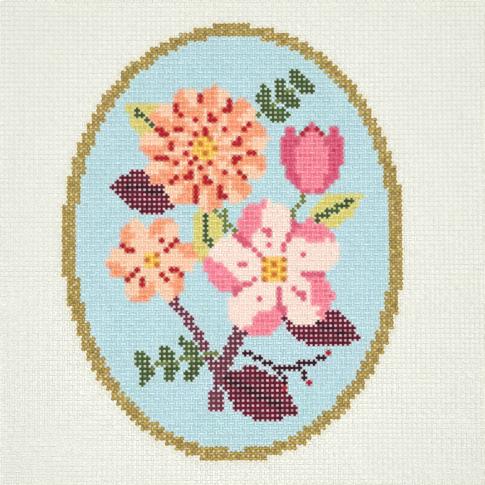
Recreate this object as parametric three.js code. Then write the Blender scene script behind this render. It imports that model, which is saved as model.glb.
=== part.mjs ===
// A hand-painted needlepoint canvas, lying face up on a flat surface.
// Millimetres, +Z up, +Y towards the top of the painted design.
// The cloth is one piece, cut from a roll of open mono canvas: it has no hem, tape or frame.

import * as THREE from "three";

// Driving dimensions. The weave sets the size: one painted stitch sits on each thread crossing.
const THREADS_PER_INCH = 18;
const PITCH = 25.4 / THREADS_PER_INCH;
const DESIGN_STITCHES = { across: 70, up: 90 };
const BARE_MARGIN_THREADS = 27;
const WIDTH = (DESIGN_STITCHES.across + 2 * BARE_MARGIN_THREADS) * PITCH;
const LENGTH = (DESIGN_STITCHES.up + 2 * BARE_MARGIN_THREADS) * PITCH;
const THICKNESS = 1.0; // two flattened threads, one over the other, under their paint

// The size in the threads keeps some of the bend of the roll, so the middle lies flat and
// the edges stand off the surface. Each row is one cut edge: the way it faces, how far from
// the centre the cloth stays flat, and its rise at the left or lower end and at the other end.
const EDGE_RISES = [
  { edge: "left", faceX: -1, faceY: 0, flatTo: 25, riseAtStart: 6, riseAtEnd: 2 },
  { edge: "right", faceX: 1, faceY: 0, flatTo: 25, riseAtStart: 5, riseAtEnd: 1 },
  { edge: "lower", faceX: 0, faceY: -1, flatTo: 35, riseAtStart: 5, riseAtEnd: 1 },
  { edge: "upper", faceX: 0, faceY: 1, flatTo: 35, riseAtStart: 3, riseAtEnd: 1 },
];

// The sheet is divided finely enough for its bends to look smooth.
const CELLS = { across: 28, up: 32 };

// Height of the underside above the surface, as the sum of what the four edges lift there.
function riseAt(x, y) {
  let rise = 0;
  for (const { faceX, faceY, flatTo, riseAtStart, riseAtEnd } of EDGE_RISES) {
    const reach = Math.abs(faceX) * (WIDTH / 2) + Math.abs(faceY) * (LENGTH / 2);
    const outwards = x * faceX + y * faceY;
    const bend = Math.max(0, (outwards - flatTo) / (reach - flatTo));
    const along = 0.5 + (x * Math.abs(faceY)) / WIDTH + (y * Math.abs(faceX)) / LENGTH;
    rise += THREE.MathUtils.lerp(riseAtStart, riseAtEnd, along) * bend * bend;
  }
  return rise;
}

// A closed slab of the cloth's thickness, with both of its faces bent to the rise.
function clothSheet() {
  const sheet = new THREE.BoxGeometry(WIDTH, LENGTH, THICKNESS, CELLS.across, CELLS.up, 1);
  const points = sheet.getAttribute("position");
  for (let i = 0; i < points.count; i += 1) {
    const level = points.getZ(i) + THICKNESS / 2;
    points.setZ(i, level + riseAt(points.getX(i), points.getY(i)));
  }
  sheet.computeVertexNormals();
  return sheet;
}

const sizedCotton = new THREE.MeshStandardMaterial({
  color: 0xecece4,
  roughness: 0.85,
  metalness: 0,
});

const canvas = new THREE.Mesh(clothSheet(), sizedCotton);
canvas.name = "canvas";

const panel = new THREE.Group();
panel.name = "needlepoint_canvas_panel";
panel.add(canvas);

export default panel;
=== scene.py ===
# %% [markdown]
# # A hand-painted needlepoint canvas
#
# Needlepoint is worked on an open cotton cloth called mono canvas. Single threads cross over and
# under each other at an even distance, and size, a kind of starch, keeps them stiff. On a painted
# canvas every crossing has the colour of the stitch that will cover it, so the picture is a chart
# made of dots and the white cloth shows round it.
#
# This lesson weaves the cloth from real threads, paints it crossing by crossing, and lays it on
# a pale table. The cloth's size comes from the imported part.

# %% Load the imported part
import math

import bpy
import numpy as np
from mathutils import Matrix, Vector


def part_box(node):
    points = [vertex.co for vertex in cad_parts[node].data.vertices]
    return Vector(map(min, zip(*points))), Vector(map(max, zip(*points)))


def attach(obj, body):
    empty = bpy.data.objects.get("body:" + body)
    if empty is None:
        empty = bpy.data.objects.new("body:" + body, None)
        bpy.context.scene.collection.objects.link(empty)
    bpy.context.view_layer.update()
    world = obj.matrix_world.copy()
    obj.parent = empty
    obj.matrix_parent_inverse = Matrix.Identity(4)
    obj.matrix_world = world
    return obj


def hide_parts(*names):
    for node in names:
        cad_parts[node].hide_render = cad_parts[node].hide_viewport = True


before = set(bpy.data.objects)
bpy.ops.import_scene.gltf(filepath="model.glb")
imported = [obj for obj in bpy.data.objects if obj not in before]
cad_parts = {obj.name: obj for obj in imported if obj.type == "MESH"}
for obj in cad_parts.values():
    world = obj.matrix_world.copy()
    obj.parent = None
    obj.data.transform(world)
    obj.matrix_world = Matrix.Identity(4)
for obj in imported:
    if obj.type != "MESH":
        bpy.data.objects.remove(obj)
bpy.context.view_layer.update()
low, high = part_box("canvas")
width = high.x - low.x
length = high.y - low.y
print(f"cloth {width * 1000:.1f} x {length * 1000:.1f} mm, {(high.z - low.z) * 1000:.1f} mm high")

# %% [markdown]
# The weave sets every other size. Eighteen threads to the inch is the usual fine canvas, so the
# number of threads follows from the size of the cloth. A thread is flatter and wider where
# another one presses on it than in the gap between two crossings.

# %% The weave's sizes
INCH = 0.0254
PITCH = INCH / 18
COLUMNS = round(width / PITCH)
ROWS = round(length / PITCH)
CLOTH_THICKNESS = 0.0010
THREAD = {
    "width at a crossing": 0.00082,
    "width in a gap": 0.00072,
    "thickness at a crossing": 0.00034,
    "thickness in a gap": 0.00042,
}
SECTION_SIDES = 6
print(f"{COLUMNS} lengthways threads, {ROWS} crossways threads, {PITCH * 1000:.3f} mm apart")

# %% [markdown]
# The cloth isn't quite flat. It has been rolled, so its middle lies on the table and its edges
# stand off it, most of all at the lower left corner. The same four rises bend the solid that
# the cloth replaces. The rows are also a little closer at the top than at the bottom, because the
# weaving wasn't quite even, and they aren't moved at the two cut edges.

# %% How the cloth lies
EDGE_RISES = [
    {"edge": "left", "face": (-1, 0), "flat_to": 0.025, "at_start": 0.006, "at_end": 0.002},
    {"edge": "right", "face": (1, 0), "flat_to": 0.025, "at_start": 0.005, "at_end": 0.001},
    {"edge": "lower", "face": (0, -1), "flat_to": 0.035, "at_start": 0.005, "at_end": 0.001},
    {"edge": "upper", "face": (0, 1), "flat_to": 0.035, "at_start": 0.003, "at_end": 0.001},
]
ROW_UNEVENNESS = 0.0172


def uneven_row(y):
    """Where a row that belongs at y really lies. Works on numbers and on node sockets."""
    share = y / (length / 2)
    return (share + (1 - share * share) * ROW_UNEVENNESS) * (length / 2)


def rise_at(x, y, larger):
    """Height of the cloth's underside. larger(a, b) is max, for numbers or for sockets."""
    rise = 0
    for row in EDGE_RISES:
        face_x, face_y = row["face"]
        reach = abs(face_x) * width / 2 + abs(face_y) * length / 2
        outwards = x * face_x + y * face_y
        bend = larger((outwards - row["flat_to"]) / (reach - row["flat_to"]), 0)
        along = x * (abs(face_y) / width) + y * (abs(face_x) / length) + 0.5
        rise = bend * bend * (along * (row["at_end"] - row["at_start"]) + row["at_start"]) + rise
    return rise


print(f"lower left corner stands {rise_at(-width / 2, -length / 2, max) * 1000:.1f} mm off the table")

# %% [markdown]
# Node trees hold a lot of arithmetic, here for the shape of the threads and for their paint.
# Wiring it by hand hides the sums, so one small class wraps a socket and gives it Python's
# operators. Any other kind of node comes from one function that takes its type, its settings
# and what is fed into its sockets.

# %% Arithmetic for node trees
class Flow:
    """A number, colour or geometry on its way through a node tree."""

    def __init__(self, socket):
        self.socket = socket

    def __add__(self, other):
        return math_node("ADD", self, other)

    def __sub__(self, other):
        return math_node("SUBTRACT", self, other)

    def __mul__(self, other):
        return math_node("MULTIPLY", self, other)

    def __truediv__(self, other):
        return math_node("DIVIDE", self, other)

    def __rsub__(self, other):
        return math_node("SUBTRACT", other, self)

    def __abs__(self):
        return math_node("ABSOLUTE", self)

    __radd__ = __add__
    __rmul__ = __mul__


def feed(made, inputs):
    """Puts a value or a link into each named or numbered socket of a node."""
    for key, value in inputs.items():
        if isinstance(value, Flow):
            made.id_data.links.new(value.socket, made.inputs[key])
        else:
            made.inputs[key].default_value = value


def node(tree, kind, settings=None, inputs=None, output=0):
    """Adds a node: its settings, what goes into its sockets, and which output is wanted."""
    made = tree.nodes.new(kind)
    for name, value in (settings or {}).items():
        setattr(made, name, value)
    feed(made, inputs or {})
    return Flow(made.outputs[output])


def math_node(operation, *values):
    """One Math node on up to three values, at least one of which comes from a tree."""
    tree = next(value.socket.id_data for value in values if isinstance(value, Flow))
    return node(tree, "ShaderNodeMath", {"operation": operation}, dict(enumerate(values)))


def larger(a, b):
    """The larger of two values in a tree."""
    return math_node("MAXIMUM", a, b)


def smaller(a, b):
    """The smaller of two values in a tree."""
    return math_node("MINIMUM", a, b)


def ramp(value, start, end):
    """0 below start, 1 above end, and a straight way between."""
    return smaller(larger((value - start) / (end - start), 0.0), 1.0)


print("operators: + - * / abs, and larger, smaller, ramp")

# %% [markdown]
# ## The painted chart
#
# The design is a chart: the name of a paint for each crossing, counted from the middle. The oval
# is 70 crossings wide and 90 high. Its gold border is three crossings wide and steps from thread
# to thread, because a stitch can't be cut. A rule asked at each crossing gives those steps by
# itself, where a smooth outline would have to be rounded afterwards.

# %% The oval
DESIGN_ACROSS = 70
DESIGN_UP = 90
OVAL_MIDDLE = (0.25, -0.25)
OVAL_OUTSIDE = {"across": 35.2, "up": 45.0}
OVAL_INSIDE = {"across": 32.2, "up": 42.3}
OVAL_FULLNESS = 2.05

chart = {}


def inside_oval(column, row, oval):
    """True where a crossing lies inside an oval that is a little fuller than an ellipse."""
    across = abs(column + 0.5 - OVAL_MIDDLE[0]) / oval["across"]
    up = abs(row + 0.5 - OVAL_MIDDLE[1]) / oval["up"]
    return across ** OVAL_FULLNESS + up ** OVAL_FULLNESS <= 1.0


for row in range(-DESIGN_UP // 2 - 1, DESIGN_UP // 2 + 1):
    for column in range(-DESIGN_ACROSS // 2 - 1, DESIGN_ACROSS // 2 + 1):
        if inside_oval(column, row, OVAL_INSIDE):
            chart[column, row] = "sky"
        elif inside_oval(column, row, OVAL_OUTSIDE):
            chart[column, row] = "gold"
golds = sum(paint == "gold" for paint in chart.values())
print(f"{len(chart)} crossings in the oval, {golds} of them gold")

# %% [markdown]
# Inside the oval is a simple spray of flowers. Each motif is a short function on distances and
# angles, so it can be moved, turned or resized, which a list of crossings couldn't. A leaf swells
# from its base and closes in a point, with a darker vein along its middle.

# %% Leaves
LEAF = {"lean": 0.8, "swell": 0.75, "least": 0.3, "vein": 0.5, "vein ends": 0.85}


def dab(column, row, paint):
    """Paints one crossing, if it lies inside the gold border."""
    spot = (round(column), round(row))
    if chart.get(spot, "gold") != "gold":
        chart[spot] = paint


def spots_near(middle, reach):
    """Every crossing in a square around a motif's middle, with its offset from there."""
    across, up = middle
    for row in range(math.floor(up - reach), math.ceil(up + reach) + 1):
        for column in range(math.floor(across - reach), math.ceil(across + reach) + 1):
            yield column, row, column - across, row - up


def leaf(tip, base, width, paint, vein):
    """A pointed leaf on a straight midrib."""
    length = math.dist(tip, base)
    along = ((tip[0] - base[0]) / length, (tip[1] - base[1]) / length)
    middle = ((tip[0] + base[0]) / 2, (tip[1] + base[1]) / 2)
    for column, row, dx, dy in spots_near(middle, length / 2 + 1):
        share = (dx * along[0] + dy * along[1]) / length + 0.5
        aside = abs(dx * -along[1] + dy * along[0])
        swell = math.sin(math.pi * min(max(share, 0), 1) ** LEAF["lean"]) ** LEAF["swell"]
        if not 0 <= share <= 1 or aside > width / 2 * swell + LEAF["least"]:
            continue
        on_vein = aside < LEAF["vein"] and share < LEAF["vein ends"]
        dab(column, row, vein if on_vein else paint)


print(f"a leaf is widest at {0.5 ** (1 / LEAF['lean']):.2f} of its length from the base")

# %% [markdown]
# A stem steps from crossing to crossing between its stops. A sprig is a stem that carries pairs of
# small leaves, or berries of one crossing on short stalks.

# %% Stems and sprigs
SPRIG = {"first joint": 0.7, "angle": 0.95, "width": 2.2, "longest": 1.15, "shorter by": 0.45}


def stem(stops, paint, wide=1):
    """A stem through its stops, one to three crossings wide."""
    for start, end in zip(stops, stops[1:]):
        steps = round(max(abs(end[0] - start[0]), abs(end[1] - start[1])))
        for step in range(steps + 1):
            share = step / max(steps, 1)
            column = start[0] + share * (end[0] - start[0])
            row = start[1] + share * (end[1] - start[1])
            for extra in range(wide):
                dab(column + extra, row, paint)


def leafy_sprig(start, end, pairs, length, paint, vein):
    """A thin stem with pairs of small pointed leaves, shorter towards the tip."""
    stem([start, end], vein)
    heading = math.atan2(end[1] - start[1], end[0] - start[0])
    for pair in range(pairs):
        share = (pair + SPRIG["first joint"]) / pairs
        joint = [a + (b - a) * share for a, b in zip(start, end)]
        reach = length * (SPRIG["longest"] - SPRIG["shorter by"] * share)
        for turn in (heading - SPRIG["angle"], heading + SPRIG["angle"]):
            tip = (joint[0] + reach * math.cos(turn), joint[1] + reach * math.sin(turn))
            leaf(tip, joint, SPRIG["width"], paint, paint)


def berry_sprig(stops, paint, berries, fruit):
    """A thin stem with berries of one crossing on short stalks."""
    stem(stops, paint)
    for berry, joint in berries:
        stem([berry, joint], paint)
        dab(*berry, fruit)


print("stem, leafy sprig and berry sprig are ready")

# %% [markdown]
# A blossom is painted by the distance and the direction from its middle. The cosine of a multiple
# of the angle is large along the middle of each petal and small between two petals, so it gives
# the lobes of the outline and the lines between the petals. The sine of the same angle tells the
# lit side of a petal from the shaded one. Distances are shares of the radius, but the width of an
# edge is counted in crossings.

# %% An open blossom
OPEN = {
    "notch": 0.36, "roundness": 0.5, "shaded side": 0.15, "shade": 0.42, "shade bulge": 0.25,
    "edged side": -0.35, "edge": 1.5, "between": 0.17, "line": (0.28, 0.78),
    "crease": 0.985, "crease line": (0.34, 0.6), "crease gaps": (1, 3), "eye": 0.21, "flecks": (2, 4),
}


def spots_around(middle, radius, turn):
    """Every crossing near a blossom, with its distance as a share of the radius and its angle."""
    for column, row, dx, dy in spots_near(middle, radius + 1):
        yield column, row, math.hypot(dx, dy) / radius, math.atan2(dy, dx) - turn


def between(value, limits):
    """True where a value lies between two limits."""
    return limits[0] < value < limits[1]


def sprinkled(column, row, slant, every):
    """True at one crossing in every few, along slanting lines."""
    return (column + slant * row) % every == 0


def open_blossom(middle, radius, petals, turn, paints):
    """A flat open flower: broad petals shaded down one side, fine lines between, a small eye."""
    light, shade, line, eye, fleck = paints
    for column, row, distance, angle in spots_around(middle, radius, turn):
        lobe = abs(math.cos(angle * petals / 2))
        side = math.sin(angle * petals)
        reach = 1 - OPEN["notch"] * (1 - lobe ** OPEN["roundness"])
        if distance > reach:
            continue
        paint = light
        if side > OPEN["shaded side"] and distance > OPEN["shade"] + OPEN["shade bulge"] * lobe:
            paint = shade
        if side > OPEN["edged side"] and distance > reach - OPEN["edge"] / radius:
            paint = shade
        if lobe < OPEN["between"] and between(distance, OPEN["line"]):
            paint = line
        in_crease = lobe > OPEN["crease"] and between(distance, OPEN["crease line"])
        if in_crease and not sprinkled(column, row, *OPEN["crease gaps"]):
            paint = line
        if distance < OPEN["eye"]:
            paint = fleck if sprinkled(column, row, *OPEN["flecks"]) else eye
        dab(column, row, paint)


print(f"an open blossom is ready, its eye {OPEN['eye']:.0%} of its radius")

# %% [markdown]
# A double flower has two rings of narrow rays. The sine has its peaks where the cosine is zero, so
# it turns the inner ring by half a ray.

# %% A rayed blossom
RAYED = {
    "notch": 0.18, "roundness": 0.6, "ring": 0.5, "ring bulge": 0.12, "shaded side": 0.1,
    "shaded rim": 1.3, "between": 0.28, "short of the edge": 0.5, "lit side": -0.15, "dark rim": 1.2,
    "dark ends": 0.5, "inner line": (0.2, 0.32), "between inner": 0.35, "eye": 0.19, "flecks": (3, 5),
}


def rayed_blossom(middle, radius, rays, turn, paints):
    """A double flower: two rings of narrow rays, dark dashes between them, a golden eye."""
    light, shade, line, eye, fleck = paints
    for column, row, distance, angle in spots_around(middle, radius, turn):
        outer = abs(math.cos(angle * rays / 2))
        inner = abs(math.sin(angle * rays / 2))
        side = math.sin(angle * rays)
        ring = RAYED["ring"] + RAYED["ring bulge"] * inner
        reach = 1 - RAYED["notch"] * (1 - outer ** RAYED["roundness"])
        if distance > reach:
            continue
        if distance > ring:
            shaded = side > RAYED["shaded side"] or distance < ring + RAYED["shaded rim"] / radius
            paint = shade if shaded else light
            if outer < RAYED["between"] and distance < reach - RAYED["short of the edge"] / radius:
                paint = line
        else:
            paint = light if side > RAYED["lit side"] else shade
            if inner < RAYED["dark ends"] and distance > ring - RAYED["dark rim"] / radius:
                paint = line
        if between(distance, RAYED["inner line"]) and outer < RAYED["between inner"]:
            paint = line
        if distance < RAYED["eye"]:
            paint = fleck if sprinkled(column, row, *RAYED["flecks"]) else eye
        dab(column, row, paint)


print(f"a rayed blossom is ready, its inner ring {RAYED['ring']:.0%} of its radius")

# %% [markdown]
# The last flower is a cup on its stem, seen from the side. Its sides follow a sine from the foot to
# the rim, its front petal is an ellipse, and a cosine scallops the rim.

# %% A cup
CUP = {"scallop": 0.24, "scallops": 2.4, "scallop roundness": 0.6, "foot": 0.10, "opening": 0.66,
       "roundness": 0.7, "front": (0.26, 0.46, 0.44), "seam": 1.35, "seam from": 0.25, "seam gaps": (1, 2)}


def cup_blossom(foot, width, height, paints):
    """A cup on its stem: two dark petals at the sides, a light one in front, a scalloped edge."""
    front, side, line = paints
    front_width, front_height, front_middle = CUP["front"]
    for column, row, dx, dy in spots_near((foot[0], foot[1] + height / 2), max(width, height)):
        share = dy / height + 0.5
        scallop = abs(math.cos(dx / width * math.pi * CUP["scallops"])) ** CUP["scallop roundness"]
        if not 0 <= share <= 1 - CUP["scallop"] * (1 - scallop):
            continue
        half = width / 2 * math.sin(math.pi * (CUP["foot"] + CUP["opening"] * share)) ** CUP["roundness"]
        if abs(dx) > half:
            continue
        in_front = (dx / (width * front_width)) ** 2 + ((share - front_middle) / front_height) ** 2
        paint = front if in_front < 1 else side
        on_seam = 1 <= in_front < CUP["seam"] and share > CUP["seam from"]
        if on_seam and not sprinkled(column, row, *CUP["seam gaps"]):
            paint = line
        dab(column, row, paint)


print(f"a cup is ready, with a seam of every other crossing above {CUP['seam from']:.0%} of its height")

# %% [markdown]
# What is painted later lies on top, so the stems come first, then the leaves, and the blossoms
# last. Places are counted in crossings from the middle of the oval.

# %% The spray
BLUSH_PETALS = ("blush", "rose", "rose_deep", "golden", "tan")
CORAL_RAYS = ("peach", "coral", "crimson", "golden", "tan")
PEACH_PETALS = ("peach", "coral", "crimson", "golden", "tan")
ROSE_CUP = ("rose", "rose_deep", "crimson")
BERRIES = [((10, -31), (9, -27)), ((15, -30), (13, -27)), ((19, -24), (16, -26))]

stem([(-5, -35), (-4, -27), (0, -20), (4, -12)], "mulberry", wide=3)
stem([(-4, -28), (-9, -19), (-14, -12)], "mulberry", wide=2)
stem([(1, -8), (-1, 0), (-5, 8)], "olive", wide=2)
stem([(6, -4), (12, 4), (15, 10)], "olive", wide=1)
leafy_sprig((4, 24), (14, 32), 3, 5, "moss", "olive")
leafy_sprig((-4, -24), (-19, -27), 3, 5, "moss", "olive")
berry_sprig([(2, -24), (9, -27), (16, -26)], "ink", BERRIES, "crimson")
leaf((-25, 10), (-11, 9), 9, "plum", "ink")
leaf((12, -36), (-2, -29), 9, "plum", "ink")
leaf((25, -21), (10, -16), 8, "plum", "ink")
leaf((-5, -8), (-6, 6), 6, "lime", "moss")
leaf((26, 8), (16, 3), 6, "lime", "moss")
leaf((-22, 27), (-12, 20), 7, "lime", "moss")
rayed_blossom((-6, 18), 13.3, 11, 0.2, CORAL_RAYS)
open_blossom((8, -7), 14.2, 5, 0.5, BLUSH_PETALS)
open_blossom((-17, -5), 9.2, 6, 0.1, PEACH_PETALS)
cup_blossom((16, 9), 13, 14, ROSE_CUP)
print(f"{sum(paint not in ('sky', 'gold') for paint in chart.values())} crossings in the spray")

# %% [markdown]
# ## Weaving the threads
#
# A thread is a flattened tube that waves over and under the threads across it. It could be a
# curve with a bevel, but then the seam along the tube gets no clean map for its paint. Here each
# tube starts as a flat strip, which already has a tidy map, and the strip is rolled up. Geometry
# Nodes copies the strip once for each thread and bends every copy by its own number. A few helpers
# come first. Blender's noise stays close to a half, so it is centred and stretched.

# %% Helpers for geometry trees
NOISE_MIDDLE = 0.5
NOISE_STRETCH = 3.0


def new_tree(name, inputs):
    """A Geometry Nodes tree with one geometry output, and its named inputs as flows."""
    tree = bpy.data.node_groups.new(name, "GeometryNodeTree")
    tree.interface.new_socket("Geometry", in_out="OUTPUT", socket_type="NodeSocketGeometry")
    for label, kind in inputs.items():
        tree.interface.new_socket(label, in_out="INPUT", socket_type="NodeSocket" + kind)
    group = tree.nodes.new("NodeGroupInput")
    return tree, {label: Flow(group.outputs[label]) for label in inputs}


def store(tree, geometry, name, data_type, domain, value):
    """Keeps a value on the geometry under a name."""
    settings = {"data_type": data_type, "domain": domain}
    inputs = {"Geometry": geometry, "Name": name, "Value": value}
    return node(tree, "GeometryNodeStoreNamedAttribute", settings, inputs)


def stored(tree, name, data_type="FLOAT"):
    """Reads back what store() kept."""
    settings = {"data_type": data_type}
    return node(tree, "GeometryNodeInputNamedAttribute", settings, {"Name": name})


def xyz(tree, x=0.0, y=0.0, z=0.0):
    """Three values as one vector."""
    return node(tree, "ShaderNodeCombineXYZ", inputs={"X": x, "Y": y, "Z": z})


def split(tree, vector):
    """One vector as three values."""
    return [node(tree, "ShaderNodeSeparateXYZ", inputs={"Vector": vector}, output=axis) for axis in "XYZ"]


def position(tree):
    """Where a point or a face lies, as three values."""
    return split(tree, node(tree, "GeometryNodeInputPosition"))


def moved(tree, geometry, place):
    """The geometry with every point moved to its new place."""
    return node(tree, "GeometryNodeSetPosition", inputs={"Geometry": geometry, "Position": place})


def copied_to(tree, points, instance):
    """A real copy of a mesh on each point."""
    copies = node(tree, "GeometryNodeInstanceOnPoints", inputs={"Points": points, "Instance": instance})
    return node(tree, "GeometryNodeRealizeInstances", inputs={"Geometry": copies})


def wander(tree, x, y, seed):
    """Smooth irregularity from about -1 to 1, in two directions and for a seed."""
    inputs = {"Vector": xyz(tree, x, y, seed), "Scale": 1.0, "Detail": 1.0}
    return (node(tree, "ShaderNodeTexNoise", inputs=inputs) - NOISE_MIDDLE) * NOISE_STRETCH


def finished(tree, geometry, material):
    """Shades the geometry smooth, gives it its material and makes it the tree's result."""
    geometry = node(tree, "GeometryNodeSetShadeSmooth", inputs={"Geometry": geometry})
    inputs = {"Geometry": geometry, "Material": material}
    geometry = node(tree, "GeometryNodeSetMaterial", inputs=inputs)
    feed(tree.nodes.new("NodeGroupOutput"), {"Geometry": geometry})


print("helpers for geometry trees are ready")

# %% [markdown]
# Each copy of the strip carries its thread's number, and each face the half pitch that it covers,
# because its paint is looked up by those two. The strip's own map becomes one row of the bundle's
# map, with a gutter to the next row.

# %% Flat strips
CAP_RINGS = 2
MAP_GUTTER = 0.06


def flat_strips(tree, given):
    """A copy of one flat strip for each thread. It carries the thread's number."""
    rings = given["Crossings"] * 2 + (1 + CAP_RINGS)
    grid = tree.nodes.new("GeometryNodeMeshGrid")
    feed(grid, {"Vertices X": rings, "Vertices Y": SECTION_SIDES + 1})
    strip = store(tree, Flow(grid.outputs["Mesh"]), "strip_map", "FLOAT_VECTOR", "CORNER",
                  Flow(grid.outputs["UV Map"]))
    line = node(tree, "GeometryNodeMeshLine", inputs={"Count": given["Threads"], "Offset": (0, 0, 0)})
    number = node(tree, "GeometryNodeInputIndex") + given["First thread"]
    line = store(tree, line, "thread", "FLOAT", "POINT", number)
    return copied_to(tree, line, strip), rings


def number_the_faces(tree, strips, rings, given):
    """Keeps on each face the half pitch that it covers, and lays out the map for the paint."""
    across, _, _ = position(tree)
    half_step = math_node("FLOOR", (across + 0.5) * (rings - 1)) - 1
    half_step = smaller(larger(half_step, 0.0), given["Crossings"] * 2 - 1)
    strips = store(tree, strips, "half_step", "INT", "FACE", half_step)
    strips = store(tree, strips, "thread_number", "INT", "FACE", stored(tree, "thread"))
    map_x, map_y, _ = split(tree, stored(tree, "strip_map", "FLOAT_VECTOR"))
    row = stored(tree, "thread") - given["First thread"]
    place = xyz(tree, map_x, (row + MAP_GUTTER + map_y * (1 - 2 * MAP_GUTTER)) / given["Threads"])
    return store(tree, strips, "OFBake", "FLOAT2", "CORNER", place)


print(f"a thread is a strip with {SECTION_SIDES} faces around and {CAP_RINGS} spare rings for its ends")

# %% [markdown]
# A real thread isn't even. It has slubs, it sways a little, and scissors leave it longer or shorter
# than its neighbours. All three are smooth noise, read by the step and by the thread's number.

# %% Uneven threads
SLUB = {"per step": 0.23, "per thread": 3.7, "share": 0.07}
SWAY = {"per step": 0.035, "per thread": 1.9, "seed": 5.0}
CUT = {"per step": 0.01, "per thread": 2.3, "seed": 9.0, "reach": 0.0003, "from": 0.998}


def thread_size(tree, thread, step, wave, given):
    """Width and thickness of a thread: flatter and wider where another one presses on it."""
    pressed = abs(wave)
    widen = THREAD["width at a crossing"] - THREAD["width in a gap"]
    flatten = THREAD["thickness at a crossing"] - THREAD["thickness in a gap"]
    slub = wander(tree, step * SLUB["per step"], thread * SLUB["per thread"], given["Seed"])
    slub = slub * SLUB["share"] + given["Plumpness"]
    thread_width = (pressed * widen + THREAD["width in a gap"]) * slub
    return thread_width, pressed * flatten + THREAD["thickness in a gap"]


def middle_line(tree, thread, step, given):
    """Where a thread's middle line lies at each step, along its run and across it."""
    seed = given["Seed"]
    sway = wander(tree, step * SWAY["per step"], thread * SWAY["per thread"], seed + SWAY["seed"])
    cut = wander(tree, thread * CUT["per thread"], step * CUT["per step"], seed + CUT["seed"])
    from_middle = step / given["Crossings"] - 1
    outermost = ramp(abs(from_middle), CUT["from"], 1.0)
    lengthwise = step * 0.5 * given["Pitch"] - given["Crossings"] * given["Pitch"] * 0.5
    lengthwise = lengthwise + from_middle * outermost * (cut * CUT["reach"])
    middle = (thread + 0.5 - given["All threads"] * 0.5) * given["Pitch"]
    return lengthwise, middle + sway * given["Wander"]


print(f"a thread's width varies by {SLUB['share']:.0%}, its cut by {CUT['reach'] * 1000:.1f} mm")

# %% [markdown]
# Rolling turns the strip's second direction into an angle. The wave has a peak over every other
# crossing, and the next thread waves the other way. A lengthways thread is a crossways one
# mirrored, so it is rolled the other way round, which keeps its faces outwards. The end rings
# shrink to a point, and merging closes them and the seam.

# %% The thread tree
WEAVE_INPUTS = {
    "Threads": "Int", "First thread": "Int", "All threads": "Int", "Crossings": "Int", "Pitch": "Float",
    "Plumpness": "Float", "Lift": "Float", "Wave": "Float", "Lengthways": "Float", "Wander": "Float",
    "Seed": "Float", "Thread material": "Material",
}
POINTED_RING = (0.1, 0.9)
MERGE_WITHIN = 1e-6


def rolled_threads(tree, strips, rings, given):
    """Rolls each strip into a waving, slightly uneven thread and lays it in the cloth."""
    across, up, _ = position(tree)
    thread = stored(tree, "thread")
    ring = (across + 0.5) * (rings - 1)
    step = smaller(larger(math_node("ROUND", ring) - 1, 0.0), given["Crossings"] * 2)
    open_ring = ramp(ring, *POINTED_RING) * ramp((rings - 1) - ring, *POINTED_RING)
    angle = (up + 0.5) * (-2 * math.pi)
    side = math_node("COSINE", angle)
    top = math_node("SINE", angle)
    parity = math_node("COSINE", thread * math.pi)
    wave = math_node("SINE", step * (math.pi / 2)) * parity
    thread_width, thickness = thread_size(tree, thread, step, wave, given)
    lengthwise, middle = middle_line(tree, thread, step, given)
    outwards = 1 - given["Lengthways"] * 2
    sideways = middle + side * outwards * thread_width * 0.5 * open_ring
    level = given["Lift"] + wave * given["Wave"] + top * thickness * 0.5 * open_ring
    flip = 1 - given["Lengthways"]
    x = lengthwise * flip + sideways * given["Lengthways"]
    y = uneven_row(lengthwise * given["Lengthways"] + sideways * flip)
    z = larger(level, 0.0) + rise_at(x, y, larger)
    threads = store(tree, strips, "section", "FLOAT_VECTOR", "POINT", xyz(tree, step * 0.5, side, top))
    threads = store(tree, threads, "level", "FLOAT", "POINT", level / CLOTH_THICKNESS)
    return moved(tree, threads, xyz(tree, x, y, z))


def weave_tree():
    """The whole tree: strips, their numbers, the roll, the merged seam and the material."""
    tree, given = new_tree("Woven threads", WEAVE_INPUTS)
    strips, rings = flat_strips(tree, given)
    strips = number_the_faces(tree, strips, rings, given)
    threads = rolled_threads(tree, strips, rings, given)
    inputs = {"Geometry": threads, "Distance": MERGE_WITHIN}
    threads = node(tree, "GeometryNodeMergeByDistance", inputs=inputs)
    finished(tree, threads, given["Thread material"])
    return tree


woven_threads = weave_tree()
print(f"{woven_threads.name}: {len(woven_threads.nodes)} nodes")

# %% [markdown]
# ## The paints
#
# The picture is painted with thick acrylic, and the border with a metallic gold. Colours are
# written as a painter would read them off a screen, from 0 to 255, and turned into the linear
# values that a renderer adds up. The fourth value says what kind of coat lies on the thread:
# none, acrylic or metallic.

# %% The palette
BARE, ACRYLIC, METALLIC = 0.0, 0.5, 1.0
PALETTE = {
    "canvas": (231, 231, 218), "sky": (193, 224, 229), "gold": (171, 149, 81), "blush": (255, 228, 214),
    "rose": (252, 150, 166), "rose_deep": (226, 104, 134), "peach": (255, 209, 179),
    "coral": (255, 172, 136), "crimson": (184, 18, 44), "golden": (255, 206, 102),
    "tan": (204, 118, 56), "lime": (228, 216, 132), "olive": (116, 128, 66), "moss": (62, 84, 42),
    "mulberry": (104, 44, 62), "plum": (92, 10, 34), "ink": (48, 8, 22),
}
COATS = {"canvas": BARE, "gold": METALLIC}
PAINT_STRENGTH = 0.85


def linear(level):
    """A colour level from 0 to 255 as a linear value."""
    share = level / 255
    return share / 12.92 if share <= 0.04045 else ((share + 0.055) / 1.055) ** 2.4


def coat_value(red, green, blue, coat):
    """A mixed colour as linear red, green and blue, with its kind of coat."""
    return [linear(level) * PAINT_STRENGTH for level in (red, green, blue)] + [coat]


def paint_value(name):
    """A paint from the palette as linear values."""
    return coat_value(*PALETTE[name], COATS.get(name, ACRYLIC))


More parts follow.
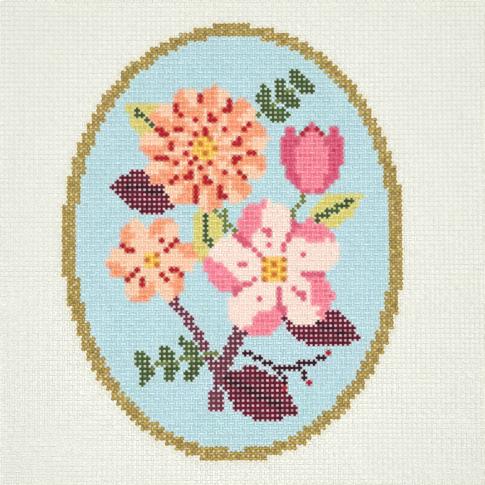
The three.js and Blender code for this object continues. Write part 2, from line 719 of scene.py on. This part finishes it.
paint_grid = np.zeros((ROWS, COLUMNS, 4), np.float32)
paint_grid[:, :] = paint_value("canvas")
for (column, row), paint in chart.items():
    paint_grid[row + ROWS // 2, column + COLUMNS // 2] = paint_value(paint)
print(f"{len(chart)} painted crossings in {len(PALETTE) - 1} paints")

# %% [markdown]
# ## The finish of a thread
#
# One material serves bare and painted threads alike, because the paint changes from crossing to
# crossing. It could be a material for each paint, but then the borders would be as sharp as the
# faces. Its sums are written with the same wrapper as the weave, with a few helpers for reading
# what the mesh keeps and for mixing colours. A Mix node has sockets for several types of value
# under the same names, so those for colours are picked by number.

# %% Shader helpers
AS_COLOUR, AS_VECTOR, AS_NUMBER, FOURTH_VALUE = range(4)
MIX_SHARE, MIX_BELOW, MIX_ABOVE, MIX_RESULT = 0, 6, 7, 2


def attribute(tree, name, output=AS_COLOUR):
    """A value kept on the mesh, read in one of the four ways that the node offers."""
    return node(tree, "ShaderNodeAttribute", {"attribute_name": name}, output=output)


def blend_colours(tree, share, below, above):
    """Share 0 gives below and share 1 gives above."""
    inputs = {MIX_SHARE: share, MIX_BELOW: below, MIX_ABOVE: above}
    return node(tree, "ShaderNodeMix", {"data_type": "RGBA"}, inputs, MIX_RESULT)


def blend(share, below, above):
    """The same for numbers."""
    return share * (above - below) + below


def scaled(tree, colour, amount):
    """A colour made lighter or darker."""
    inputs = {0: colour, "Scale": amount}
    return node(tree, "ShaderNodeVectorMath", {"operation": "SCALE"}, inputs)


def below(value, limit, fade):
    """0 above a limit, rising to 1 where the value lies a fade below it."""
    return ramp(limit - value, 0.0, fade)


def new_material(name, preview):
    """A plain material with its shader, and the colour that a viewport without light shows."""
    material = bpy.data.materials.new(name)
    material.diffuse_color = list(preview) + [1.0]
    material.use_nodes = True
    tree = material.node_tree
    return material, tree, tree.nodes["Principled BSDF"]


print("shader helpers are ready")

# %% [markdown]
# No coat of paint is even. It has clouds, blotches, streaks and grains, from over a centimetre wide
# to half a millimetre, and its borders slip. Each of these is a kind of noise, with the size of its
# blotches in metres, a detail, a shift that makes it differ from the others, and a stretch. The
# noise is read at the place on the piece, so it runs on from one bundle to the next.

# %% Kinds of noise
EVENLY = (1, 1, 1)
NOISE = {
    "drifting": (0.012, 2.0, 0.5, EVENLY),
    "cloudy": (0.009, 3.0, 0.3, EVENLY),
    "blotchy": (0.005, 2.0, 0.4, EVENLY),
    "brushed": (0.0028, 1.0, 0.2, EVENLY),
    "streaky": (0.0016, 2.0, 0.7, (0.35, 1, 1)),
    "lumpy": (0.0013, 2.0, 0.9, EVENLY),
    "slipping": (0.0011, 1.0, 0.0, EVENLY),
    "grainy": (0.0005, 1.0, 0.1, EVENLY),
}
COOL_TO_WARM = ((1.03, 0.99, 1.03, 1.0), (0.97, 1.01, 0.97, 1.0))


def mottle(tree, kind):
    """Smooth noise of one kind, from about -1 to 1."""
    size, detail, shift, stretch = NOISE[kind]
    place = node(tree, "ShaderNodeTexCoord", output="Object")
    inputs = {"Vector": place, "Location": (shift, shift, shift), "Scale": stretch}
    place = node(tree, "ShaderNodeMapping", inputs=inputs)
    inputs = {"Vector": place, "Scale": 1 / size, "Detail": detail}
    return (node(tree, "ShaderNodeTexNoise", inputs=inputs) - NOISE_MIDDLE) * NOISE_STRETCH


def tinted(tree, colour):
    """A paint that drifts a little between a cooler and a warmer mix across the cloth."""
    share = ramp(mottle(tree, "drifting"), -1.0, 1.0)
    inputs = {0: colour, 1: blend_colours(tree, share, *COOL_TO_WARM)}
    return node(tree, "ShaderNodeVectorMath", {"operation": "MULTIPLY"}, inputs)


print(f"{len(NOISE)} kinds of noise are ready")

# %% [markdown]
# Each face of a thread knows the paint of its own crossing and of the next one. A brush doesn't
# stop exactly half-way between them, so a smooth noise moves the border to one side or the other.
# A dark paint bleeds a little into a light one, and the thick gold falls short of half-way. Two
# light paints, laid on wet, run into each other.

# %% Borders between paints
GILDED = (0.6, 0.9)
CONTRAST = (0.25, 0.5)
SLIP = (0.08, 0.22)
DARK_BLEED = 0.26
GOLD_SHORTFALL = 0.22
BORDER_SOFTNESS = (0.22, 0.03)


def paint_from_two(tree, along):
    """The paint of the own crossing or of the next one, with its coat, on either side of a border."""
    own_coat = attribute(tree, "paint", FOURTH_VALUE)
    next_coat = attribute(tree, "next_paint", FOURTH_VALUE)
    gilded = ramp(larger(own_coat, next_coat), *GILDED)
    difference = attribute(tree, "paint", AS_NUMBER) - attribute(tree, "next_paint", AS_NUMBER)
    gap = along - math_node("ROUND", along)
    slip = mottle(tree, "slipping") * blend(gilded, *SLIP)
    shift = math_node("SIGN", gap) * slip + difference * DARK_BLEED
    shift = shift + (own_coat - next_coat) * GOLD_SHORTFALL
    soft = blend(larger(ramp(abs(difference), *CONTRAST), gilded), *BORDER_SOFTNESS)
    strayed = smaller(larger((shift - abs(gap)) / soft * 0.5 + 0.5, 0.0), 1.0)
    colour = blend_colours(tree, strayed, attribute(tree, "paint"), attribute(tree, "next_paint"))
    return colour, blend(strayed, own_coat, next_coat)


print(f"two light paints run together over {BORDER_SOFTNESS[0]} of a pitch")

# %% [markdown]
# Paint dries a little cloudy and streaky. Where it lies low between the threads it is deeper,
# partly because more of it gathered there and partly as painted shade, and a pale paint shows
# that less. The gold gets painted shade in the hollows of its lumps and a painted highlight of
# pale gold on their tops. The upper side of a thread is covered but for thin streaks, and its
# back has only a stain.

# %% Dried paint on a thread
SHADE = {"cloudy": 0.03, "streaky": 0.04, "grainy": 0.04, "blotchy": 0.45, "shaded gold hollows": 0.5}
COATED = (0.1, 0.4)
DARK_BELOW = (0.12, 0.08)
STRONG_BELOW = (0.62, 0.1)
POOLED_AND_SHADED_BELOW = (0.70, 0.22)
POOLED_AND_SHADED_DEPTH = (1.0, 1.26)
POOLED_AND_SHADED_PALE = 0.5
BRUSHED_DEPTH = 0.05
GOLD_RUFFLES = 1.6
# Pale gold is the colour of the painted highlight on the gold's lumps.
PALE_GOLD = (linear(232), linear(212), linear(158), 1.0)
GLINT = {"grain": 0.4, "lit lump tops": (0.25, 1.1), "share": 0.7}
COVER = {"grain": 0.06, "edge": (0.12, 0.28), "stain": 0.10, "cloudy stain": 0.05}
THIN = {"grain": 0.6, "streaks": (0.45, 1.3), "paint": 0.16, "gold": 0.55, "less on dark": 0.08}


def darkness(tree):
    """1 on the darkest paints, 0 on all the others."""
    return below(attribute(tree, "paint", AS_NUMBER), *DARK_BELOW)


def dried_on(tree, colour, metallic, level):
    """The colour after drying: cloudy and streaky, deeper in the low places from gathered paint and painted
    shade, with painted shade in the gold's hollows and a painted highlight on its lumps.
    """
    grainy = mottle(tree, "grainy")
    lumpy = mottle(tree, "lumpy")
    dark = darkness(tree)
    shade = mottle(tree, "cloudy") * SHADE["cloudy"]
    shade = shade + mottle(tree, "streaky") * SHADE["streaky"] + grainy * SHADE["grainy"]
    shade = shade + dark * mottle(tree, "blotchy") * SHADE["blotchy"]
    # Painted shade: the gold is darker in the hollows of the same lumps that its bump raises.
    shaded_hollows = metallic * smaller(lumpy, 0.0) * SHADE["shaded gold hollows"]
    shade = shade * blend(metallic, 1.0, GOLD_RUFFLES) + shaded_hollows + 1.0
    strong = blend(below(attribute(tree, "paint", AS_NUMBER), *STRONG_BELOW), POOLED_AND_SHADED_PALE, 1.0)
    # Painted shade, partly gathered paint: the colour is deeper where the thread lies low.
    pooled_and_shaded = below(level, *POOLED_AND_SHADED_BELOW) * (1 - dark) * strong
    brushed = mottle(tree, "brushed") * (1 - dark) * BRUSHED_DEPTH
    inputs = {"Color": tinted(tree, colour), "Gamma": blend(pooled_and_shaded, *POOLED_AND_SHADED_DEPTH) + brushed}
    colour = scaled(tree, node(tree, "ShaderNodeGamma", inputs=inputs), shade)
    # Painted highlight: pale gold on the tops of those lumps.
    glint = metallic * ramp(lumpy + grainy * GLINT["grain"], *GLINT["lit lump tops"]) * GLINT["share"]
    return blend_colours(tree, glint, colour, PALE_GOLD)


def cover_of_paint(tree, coat, metallic, level):
    """How much paint hides the cotton: most of it above, only a stain on the thread's back."""
    grainy = mottle(tree, "grainy")
    runs_down = ramp(level + grainy * COVER["grain"], *COVER["edge"])
    stain = COVER["stain"] + mottle(tree, "cloudy") * COVER["cloudy stain"]
    thin = ramp(mottle(tree, "streaky") + grainy * THIN["grain"], *THIN["streaks"])
    thin = thin * (blend(metallic, THIN["paint"], THIN["gold"]) - darkness(tree) * THIN["less on dark"])
    return ramp(coat, *COATED) * blend(runs_down, stain, 1 - thin)


print(f"paint covers a thread but for {COVER['stain']:.0%} on its back")

# %% [markdown]
# The cotton under the paint is dull, with the twist of its plies, and light passes through it
# from side to side. That is set as scattering below the surface, which keeps the shadows between
# the threads pale. Acrylic dries to a soft sheen, and the gold has a metal's gloss, with a painted
# highlight of pale gold on its lumps.

# %% The thread's finish
PLY_TURNS = 1.4
PLIES = 3.0
FUZZ = {"cloudy": 0.012, "grainy": 0.02}
RELIEF = {"Strength": 0.35, "Distance": 0.00006}
LUMPS = {"bare plies": 0.5, "painted plies": 0.22, "grain": 0.5, "gold": 1.5}
GLOSS = {"cotton": 0.86, "acrylic": 0.6, "gold": 0.5, "grain": 0.05}
GOLD_METAL = 0.3
SPECULAR = 0.1
SCATTERING = {"Subsurface Weight": 0.85, "Subsurface Radius": (1.0, 1.0, 1.0), "Subsurface Scale": 0.0014}


def painted_thread():
    """Cotton, with acrylic or gold paint where the crossings are painted."""
    material, tree, shader = new_material("Painted canvas thread", paint_value("canvas")[:3])
    along, side, top = split(tree, attribute(tree, "section", AS_VECTOR))
    level = attribute(tree, "level", AS_NUMBER)
    grainy = mottle(tree, "grainy")
    colour, coat = paint_from_two(tree, along)
    metallic = ramp(coat, *GILDED)
    colour = dried_on(tree, colour, metallic, level)
    cover = cover_of_paint(tree, coat, metallic, level)
    fuzzy = mottle(tree, "cloudy") * FUZZ["cloudy"] + grainy * FUZZ["grainy"] + 1.0
    shown = blend_colours(tree, cover, scaled(tree, paint_value("canvas")[:3], fuzzy), colour)

    turn = math_node("ARCTAN2", top, side)
    plies = math_node("SINE", along * (2 * math.pi * PLY_TURNS) + turn * PLIES)
    lumps = cover * metallic * mottle(tree, "lumpy") * LUMPS["gold"]
    relief = plies * blend(cover, LUMPS["bare plies"], LUMPS["painted plies"])
    relief = relief + grainy * LUMPS["grain"] + lumps
    bump = node(tree, "ShaderNodeBump", inputs={**RELIEF, "Height": relief})
    gloss = blend(cover * metallic, blend(cover, GLOSS["cotton"], GLOSS["acrylic"]), GLOSS["gold"])
    feed(shader, {
        "Base Color": shown, "Roughness": gloss + grainy * GLOSS["grain"], "Normal": bump,
        "Metallic": cover * metallic * GOLD_METAL, "Specular IOR Level": SPECULAR, **SCATTERING})
    return material


thread_finish = painted_thread()
print(f"{thread_finish.name}: {len(thread_finish.node_tree.nodes)} nodes")

# %% [markdown]
# ## Weaving the pieces
#
# A tree runs as a modifier on an empty mesh. Its finished result is kept as a plain mesh, which any
# program can read, and the modifier is taken off. Each face then gets its paint from the chart, by
# the thread and the half pitch that it belongs to.

# %% Finished meshes
def result_of(name, tree, values):
    """Runs a tree on an empty mesh and keeps the result as a plain mesh object."""
    holder = bpy.data.objects.new(name, bpy.data.meshes.new(name))
    bpy.context.scene.collection.objects.link(holder)
    modifier = holder.modifiers.new("Tree", "NODES")
    modifier.node_group = tree
    for item in tree.interface.items_tree:
        if item.in_out == "INPUT":
            modifier[item.identifier] = values[item.name]
    depsgraph = bpy.context.evaluated_depsgraph_get()
    mesh = bpy.data.meshes.new_from_object(
        holder.evaluated_get(depsgraph), preserve_all_data_layers=True, depsgraph=depsgraph)
    holder.modifiers.clear()
    holder.data = mesh
    mesh.name = name
    # The tree's material is the last one, after an empty slot of the mesh that it started from.
    finish = mesh.materials[len(mesh.materials) - 1]
    mesh.materials.clear()
    mesh.materials.append(finish)
    mesh.polygons.foreach_set("material_index", np.zeros(len(mesh.polygons), np.int32))
    return holder


def paint_faces(mesh, lengthways):
    """Gives each face the paint of its crossing, and of the crossing across the nearest gap."""
    thread = np.zeros(len(mesh.polygons), np.int32)
    half_step = np.zeros(len(mesh.polygons), np.int32)
    mesh.attributes["thread_number"].data.foreach_get("value", thread)
    mesh.attributes["half_step"].data.foreach_get("value", half_step)
    own = half_step // 2
    neighbour = own + np.where(half_step % 2 == 0, -1, 1)
    for name, crossing in (("paint", own), ("next_paint", neighbour)):
        crossing = np.clip(crossing, 0, (ROWS if lengthways else COLUMNS) - 1)
        row, column = (crossing, thread) if lengthways else (thread, crossing)
        layer = mesh.attributes.new(name, "FLOAT_COLOR", "FACE")
        layer.data.foreach_set("color", paint_grid[row, column].ravel())


print("a tree's result becomes a plain mesh, and its faces get their paint")

# %% [markdown]
# The cloth is one woven piece, but 268 threads in one mesh would be slow to handle. The lengthways
# and the crossways threads are therefore made in three bundles each.

# %% Weave the bundles
CROSSWAYS = {"All threads": ROWS, "Crossings": COLUMNS, "Lengthways": 0.0,
             "Lift": 0.00041, "Wave": -0.00013, "Plumpness": 1.03}
LENGTHWAYS = {"All threads": COLUMNS, "Crossings": ROWS, "Lengthways": 1.0,
              "Lift": 0.00036, "Wave": 0.00019, "Plumpness": 0.97}
BUNDLES = [
    (CROSSWAYS, ["crossways_lower", "crossways_middle", "crossways_upper"]),
    (LENGTHWAYS, ["lengthways_left", "lengthways_middle", "lengthways_right"]),
]
WANDER = 0.00005
WEAVE_SEED = 3.0

bundles = []
for kind, names in BUNDLES:
    for number, name in enumerate(names):
        first = kind["All threads"] * number // len(names)
        after = kind["All threads"] * (number + 1) // len(names)
        bundle = result_of(name, woven_threads, {
            **kind, "Threads": after - first, "First thread": first, "Pitch": PITCH, "Wander": WANDER,
            "Seed": WEAVE_SEED + kind["Lengthways"], "Thread material": thread_finish})
        paint_faces(bundle.data, kind["Lengthways"] > 0)
        bundle["threads"] = after - first
        bundles.append(bundle)
        print(f"{name}: {after - first} threads, {len(bundle.data.polygons)} faces")

# %% [markdown]
# ## Paint that bridges the holes
#
# Thick light paint dries as a skin across the small holes and sinks a little in the middle, so a
# light field looks closed. Where two paints meet, a skin has something of both. The dark paints
# are thinner: their skins are only a tint over the white size that fills the hole, so they show
# as a net of pale dots, some of them deeper than others. The gold's skins are a share of pale gold
# as well, which is a painted highlight in each hole. Just outside the gold border most holes hold
# a little cream. A skin could be one sheet under the threads, but then it would not stop where
# the paint does. So each closed hole has a skin of its own.

# %% Where the holes are closed
# Pale colours for thin-painted holes: watered tints of the dark paints, and for the gold a painted
# highlight.
WATERED_TINTS_AND_GOLD_HIGHLIGHT = {
    "gold": (248, 226, 170), "olive": (214, 216, 184), "moss": (206, 214, 184),
    "mulberry": (234, 196, 202), "plum": (238, 186, 198), "ink": (222, 200, 208),
}
CREAM = (247, 238, 206)
PALE_SHARE = {
    "dark": (0.42, 0.95), "dark beside": (0.45, 0.75), "gold": (0.15, 0.70), "gold beside": (0.15, 0.45),
}
CLOSED_RIM = 0.88
DEEPER_POOLED_AND_SHADED = (1.36, 0.16)
PALE_FROM = 0.38
SKIN_HEIGHT = 0.00037
GOLD_HEIGHT = 0.00050
SKIN_SEED = 11


def mixed(*colours):
    """The even mix of some colours."""
    return [sum(levels) / len(colours) for levels in zip(*colours)]


def paint_in_hole(corners, dice):
    """The colour of a skin between four painted crossings, or None where the hole stays open."""
    thick = [paint_value(paint) for paint in corners if paint not in WATERED_TINTS_AND_GOLD_HIGHLIGHT and paint != "canvas"]
    thin = [paint for paint in corners if paint in WATERED_TINTS_AND_GOLD_HIGHLIGHT]
    kind = ("gold" if "gold" in thin else "dark") + (" beside" if thick else "")
    if "canvas" in corners:
        return coat_value(*CREAM, BARE) if dice.random() < CLOSED_RIM else None
    deep = mixed(*(thick or [paint_value(paint) for paint in thin]))
    # A skin is deepened by a random power, partly for paint gathered in the hole and partly as painted
    # shade.
    depth = dice.normal(*DEEPER_POOLED_AND_SHADED)
    if min(deep[:3]) > PALE_FROM:
        depth = 1 + (depth - 1) * POOLED_AND_SHADED_PALE
    deep = [level ** depth for level in deep[:3]] + deep[3:]
    if not thin:
        return deep
    # Pale: a watered tint of a dark paint, and for the gold a painted highlight.
    pale = mixed(*(coat_value(*WATERED_TINTS_AND_GOLD_HIGHLIGHT[paint], deep[3]) for paint in thin))
    share = dice.uniform(*PALE_SHARE[kind])
    return [a + (b - a) * share for a, b in zip(deep, pale)]


def closed_holes(seed):
    """The place and the paint of each hole that a skin of paint closes."""
    dice = np.random.default_rng(seed)
    places, paints = [], []
    steps = [(0, 0), (1, 0), (0, 1), (1, 1)]
    lower_left = {(column - left, row - down) for column, row in chart for left, down in steps}
    for column, row in sorted(lower_left):
        corners = [chart.get((column + right, row + up), "canvas") for right, up in steps]
        colour = paint_in_hole(corners, dice)
        if colour:
            height = GOLD_HEIGHT if set(corners) == {"gold"} else SKIN_HEIGHT
            places.append(((column + 1) * PITCH, (row + 1) * PITCH, height))
            paints.append(colour)
    return places, paints


skin_places, skin_paints = closed_holes(SKIN_SEED)
print(f"{len(skin_places)} holes are closed by paint")

# %% [markdown]
# A skin is a flat bead with its rim hidden inside the four threads around the hole. One bead is
# copied to every closed hole. The copies are then moved with the uneven rows and the bent edges,
# by the same two functions that place the threads.

# %% The tree for the skins
SKIN_INPUTS = {
    "Holes": "Object", "Reach": "Float", "Sag": "Float", "Thickness": "Float", "Paint material": "Material",
}
BEAD = {"Segments": 4, "Rings": 2, "Radius": 1.0}
BEAD_TURN = math.pi / 4


def skin_tree():
    """A bead on every hole, flattened, sunk in the middle and laid with the cloth."""
    tree, given = new_tree("Skins of paint", SKIN_INPUTS)
    bead = node(tree, "GeometryNodeMeshUVSphere", inputs=BEAD)
    bead = node(tree, "GeometryNodeTransform", inputs={"Geometry": bead, "Rotation": (0, 0, BEAD_TURN)})
    x, y, z = position(tree)
    corner = given["Reach"] * math.sqrt(2)
    sunk = 0 - abs(z) * given["Sag"] + z * given["Thickness"] * 0.5
    bead = moved(tree, bead, xyz(tree, x * corner, y * corner, sunk))
    holes = node(tree, "GeometryNodeObjectInfo", inputs={"Object": given["Holes"]}, output="Geometry")
    skins = copied_to(tree, holes, bead)
    x, y, z = position(tree)
    y = uneven_row(y)
    up = split(tree, node(tree, "GeometryNodeInputNormal"))[2]
    beneath = math_node("LESS_THAN", up, 0.0)
    beneath = node(tree, "GeometryNodeFieldOnDomain", {"domain": "FACE"}, {0: beneath})
    map_x = (x / width + 0.5 + beneath) * 0.5
    skins = store(tree, skins, "OFBake", "FLOAT2", "CORNER", xyz(tree, map_x, y / length + 0.5))
    skins = moved(tree, skins, xyz(tree, x, y, z + rise_at(x, y, larger)))
    finished(tree, skins, given["Paint material"])
    return tree


skins_of_paint = skin_tree()
print(f"{skins_of_paint.name}: {len(skins_of_paint.nodes)} nodes")

# %% [markdown]
# A dried skin is smooth and a little darker than the paint on the threads, since it lies in their
# shade. It is opaque, so it needs none of the cotton's scattering. The holes' places and colours
# are put on a small mesh of single points, which the tree reads and which is removed afterwards.

# %% The skins
SKIN_SHADE = (0.93, 0.92)
SKIN_GRAIN = (0.05, 0.12)
SKIN_GLOSS = (0.5, 0.36)
SKIN_METAL = 0.2
SKIN_SIZES = {"Reach": 0.00052, "Sag": 0.00010, "Thickness": 0.00006}


def dried_paint():
    """Acrylic or gold that has dried in a hole."""
    material, tree, shader = new_material("Dried paint", paint_value("sky")[:3])
    metallic = ramp(attribute(tree, "paint", FOURTH_VALUE), *GILDED)
    grainy = mottle(tree, "grainy") * blend(metallic, *SKIN_GRAIN)
    shade = mottle(tree, "cloudy") * SHADE["cloudy"] + grainy + blend(metallic, *SKIN_SHADE)
    feed(shader, {
        "Base Color": scaled(tree, tinted(tree, attribute(tree, "paint")), shade),
        "Roughness": blend(metallic, *SKIN_GLOSS), "Metallic": metallic * SKIN_METAL,
        "Specular IOR Level": SPECULAR})
    return material


hole_mesh = bpy.data.meshes.new("holes")
hole_mesh.from_pydata(skin_places, [], [])
layer = hole_mesh.attributes.new("paint", "FLOAT_COLOR", "POINT")
layer.data.foreach_set("color", np.array(skin_paints, np.float32).ravel())
holes = bpy.data.objects.new("holes", hole_mesh)
bpy.context.scene.collection.objects.link(holes)
skins = result_of("paint_skins", skins_of_paint, {
    "Holes": holes, "Paint material": dried_paint(), **SKIN_SIZES})
bpy.data.objects.remove(holes)
print(f"{skins.name}: {len(skins.data.polygons)} faces")

# %% [markdown]
# ## The table, the light and the camera
#
# The canvas lies on a plain white table in a pale room. A broad soft light comes from the upper
# right. A smaller one just above the camera shines down through the holes, so that the white
# table shows in them.

# %% Table and lights
TABLE_SIZE = 3.0
TABLE_COLOUR = (0.72, 0.72, 0.68)
TABLE_ROUGHNESS = 0.6
LIGHTS = [
    {"name": "Broad light", "place": (0.22, 0.45, 0.5), "size": 0.5, "watts": 1.1},
    {"name": "Light by the camera", "place": (-0.006, -0.0245, 0.45), "size": 0.05, "watts": 2.5},
]
ROOM_COLOUR = (0.95, 0.97, 1.0)
ROOM_STRENGTH = 0.34


def soft_light(name, place, size, watts):
    """A square area light that looks at the middle of the cloth."""
    data = bpy.data.lights.new(name, "AREA")
    data.size = size
    data.energy = watts
    lamp = bpy.data.objects.new(name, data)
    lamp.location = place
    lamp.rotation_euler = (-Vector(place)).to_track_quat("-Z", "Y").to_euler()
    bpy.context.scene.collection.objects.link(lamp)


half = TABLE_SIZE / 2
table_mesh = bpy.data.meshes.new("table")
table_corners = [(-half, -half, 0), (half, -half, 0), (half, half, 0), (-half, half, 0)]
table_mesh.from_pydata(table_corners, [], [(0, 1, 2, 3)])
table = bpy.data.objects.new("table", table_mesh)
white, _, table_shader = new_material("White table", TABLE_COLOUR)
feed(table_shader, {"Base Color": TABLE_COLOUR + (1.0,), "Roughness": TABLE_ROUGHNESS})
table_mesh.materials.append(white)
bpy.context.scene.collection.objects.link(table)

for light in LIGHTS:
    soft_light(**light)
world = bpy.data.worlds.new("Room")
world.use_nodes = True
feed(world.node_tree.nodes["Background"], {"Color": ROOM_COLOUR + (1.0,), "Strength": ROOM_STRENGTH})
bpy.context.scene.world = world
bpy.context.scene.view_settings.view_transform = "Standard"
print(f"{len(LIGHTS)} lights over a table {TABLE_SIZE} m wide")

# %% [markdown]
# The camera looks almost straight down, from a little towards the lower edge. Its axes come from
# its tilt, its lean and its roll, and its lens from the width of the view at the cloth.

# %% Camera
VIEW_DISTANCE = 0.42
VIEW_TILT = math.radians(3.2)
VIEW_LEAN = math.radians(-1.0)
VIEW_ROLL = math.radians(0.3)
VIEW_AIM = Vector((0.0029, 0.0004, 0.0))
VIEW_WIDTH = 0.1405
SENSOR = 0.036

back = Vector((math.sin(VIEW_LEAN), -math.sin(VIEW_TILT), math.cos(VIEW_TILT) * math.cos(VIEW_LEAN)))
back.normalize()
right = (-back).cross(Vector((math.sin(VIEW_ROLL), math.cos(VIEW_ROLL), 0))).normalized()
camera_data = bpy.data.cameras.new("Camera")
camera_data.sensor_width = SENSOR * 1000
camera_data.lens = SENSOR * 1000 * VIEW_DISTANCE / VIEW_WIDTH
camera = bpy.data.objects.new("Camera", camera_data)
camera.matrix_world = Matrix((right, back.cross(right), back)).transposed().to_4x4()
camera.matrix_world.translation = VIEW_AIM + back * VIEW_DISTANCE
bpy.context.scene.collection.objects.link(camera)
bpy.context.scene.camera = camera
print(f"camera {VIEW_DISTANCE} m away, lens {camera_data.lens:.0f} mm")

# %% [markdown]
# ## Attaching the pieces
#
# Every bundle moves with the one body of the part and stands for its solid, which is hidden. The
# threads cover only part of the cloth's size, because the cloth is open, so the area of the threads
# themselves is worked out for each bundle, but nothing uses it.

for bundle in bundles:
    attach(bundle, "root")
    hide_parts("canvas")
    lengthways = bundle.name.startswith("lengthways")
    span = bundle["threads"] * PITCH
    flat = (span, length) if lengthways else (width, span)
    cover = (THREAD["width at a crossing"] + THREAD["width in a gap"]) / 2 / PITCH
    flat[0] * flat[1] * cover
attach(skins, "root")
